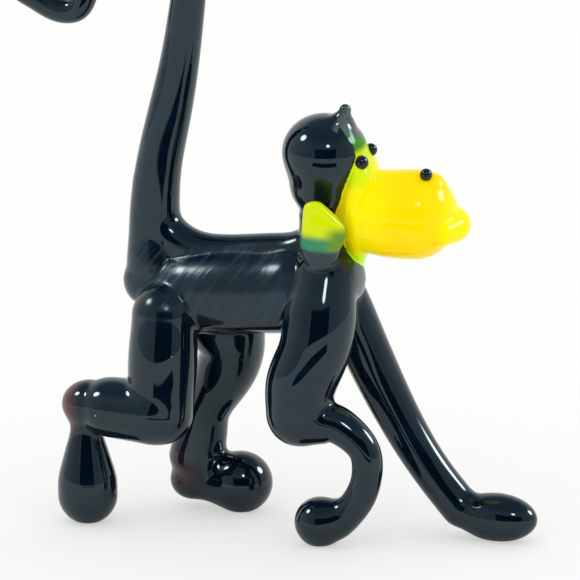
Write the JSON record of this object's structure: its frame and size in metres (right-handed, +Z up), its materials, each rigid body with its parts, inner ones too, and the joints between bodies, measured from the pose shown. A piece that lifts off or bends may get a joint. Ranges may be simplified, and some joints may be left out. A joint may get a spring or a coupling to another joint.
{
  "type": "monkey figurine",
  "caption": "Flame-worked glass monkey walking on all fours, long tail arched over its back, yellow muzzle and ears; stands on four flattened soles.",
  "frame": {"origin": "on the floor, under the middle of the figure's own box", "axes": "+X the way the monkey walks, +Y its left side, +Z up"},
  "size_m": [0.0958, 0.0264, 0.113],
  "materials": {
    "black_glass": "fire-polished, gloss",
    "yellow_glass": "fire-polished, gloss, opaque",
    "bead_glass": "fire-polished, gloss"
  },
  "bodies": {
    "root": {"torso": "black_glass", "tail": "black_glass", "right_hind_leg": "black_glass", "right_hind_foot": "black_glass", "left_hind_leg": "black_glass", "left_hind_foot": "black_glass", "right_upper_arm": "black_glass", "right_forearm": "black_glass", "right_hand": "black_glass", "left_arm": "black_glass", "left_hand": "black_glass", "neck": "black_glass", "head": "black_glass", "face": "yellow_glass", "muzzle": "yellow_glass", "crest": "black_glass", "nose": "bead_glass", "right_ear_rim": "black_glass", "right_ear": "yellow_glass", "left_ear_rim": "black_glass", "left_ear": "yellow_glass", "right_eye": "bead_glass", "left_eye": "bead_glass"}
  },
  "joints": []
}
